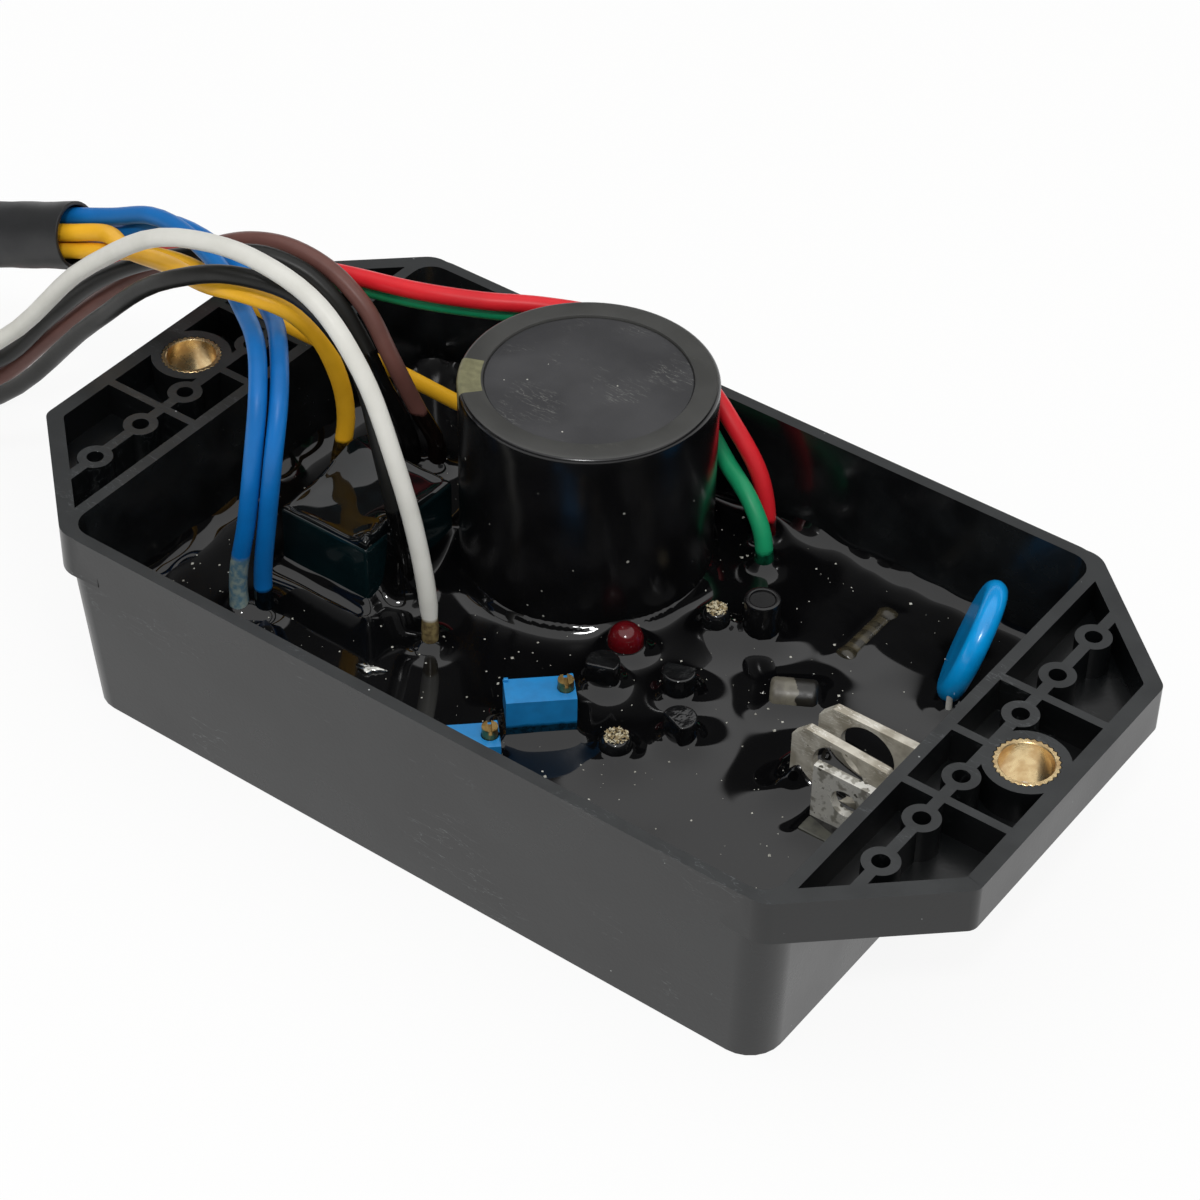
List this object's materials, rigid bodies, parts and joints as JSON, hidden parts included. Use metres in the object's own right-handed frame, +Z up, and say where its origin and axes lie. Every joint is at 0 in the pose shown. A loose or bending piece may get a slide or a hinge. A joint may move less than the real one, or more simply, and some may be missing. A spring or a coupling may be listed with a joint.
{
  "type": "automatic voltage regulator",
  "caption": "Potted voltage regulator: open moulded tray with ribbed mounting ears, upright capacitor, trimmers, relay, power tabs and coloured leads set in black resin.",
  "frame": {"origin": "middle of the tray's underside", "axes": "+X along the tray towards the ear beside the power tabs, +Y to the long side beside the capacitor, +Z up out of the open tray"},
  "size_m": [0.277, 0.0816, 0.0644],
  "materials": {
    "case_polymer": "satin",
    "brass_insert": "machined",
    "board_laminate": "matte",
    "potting_resin": "gloss",
    "capacitor_sleeve": "gloss",
    "end_plate": "satin",
    "trimmer_blue": "gloss",
    "trimmer_brass": "turned",
    "tinned_wire": "tinned",
    "lamp_epoxy": "gloss",
    "relay_case": "gloss",
    "device_epoxy": "matte",
    "can_sleeve": "gloss",
    "resistor_cement": "matte",
    "disc_epoxy": "satin",
    "tinned_tab": "tinned",
    "pvc_blue": "satin",
    "pvc_yellow": "satin",
    "pvc_white": "satin",
    "pvc_black": "satin",
    "pvc_brown": "satin",
    "pvc_red": "satin",
    "pvc_green": "satin",
    "nylon": "satin",
    "terminal_brass": "stamped"
  },
  "bodies": {
    "unit": {"case": "case_polymer", "mount_insert_left": "brass_insert", "mount_insert_right": "brass_insert", "circuit_board": "board_laminate", "potting_resin": "potting_resin", "capacitor_can": "capacitor_sleeve", "capacitor_end_plate": "end_plate", "trimmer_rear": "trimmer_blue", "trimmer_front": "trimmer_blue", "trimmer_pins": "tinned_wire", "indicator_lamp": "lamp_epoxy", "relay": "relay_case", "transistor_left": "device_epoxy", "transistor_middle": "device_epoxy", "transistor_right": "device_epoxy", "can_wide": "can_sleeve", "can_narrow": "can_sleeve", "electrolytic": "capacitor_sleeve", "resistor": "resistor_cement", "diode": "device_epoxy", "surge_disc": "disc_epoxy", "surge_disc_leads": "tinned_wire", "tab_rear": "tinned_tab", "tab_middle": "tinned_tab", "tab_front": "tinned_tab", "device_rear": "device_epoxy", "device_middle": "device_epoxy", "device_front": "device_epoxy", "signal_pins": "tinned_wire", "power_pins": "tinned_wire", "lead_blue_left": "pvc_blue", "lead_blue_right": "pvc_blue", "lead_yellow": "pvc_yellow", "lead_yellow_thin": "pvc_yellow", "lead_white": "pvc_white", "lead_black_near": "pvc_black", "lead_black_far": "pvc_black", "lead_brown": "pvc_brown", "lead_red": "pvc_red", "lead_green": "pvc_green", "sleeve": "pvc_black", "connector_four": "nylon", "connector_six": "nylon", "terminals_four": "terminal_brass", "terminals_six": "terminal_brass"},
    "rear_screw": {"trimmer_rear_screw": "trimmer_brass"},
    "front_screw": {"trimmer_front_screw": "trimmer_brass"}
  },
  "joints": [
    {"name": "rear_screw_turn", "type": "hinge", "parent": "unit", "child": "rear_screw", "pos_m": [0.0094, -0.01566, 0.0214], "axis": [0, 0, 1], "continuous": true},
    {"name": "front_screw_turn", "type": "hinge", "parent": "unit", "child": "front_screw", "pos_m": [0.00696, -0.02894, 0.0214], "axis": [0, 0, 1], "continuous": true}
  ]
}
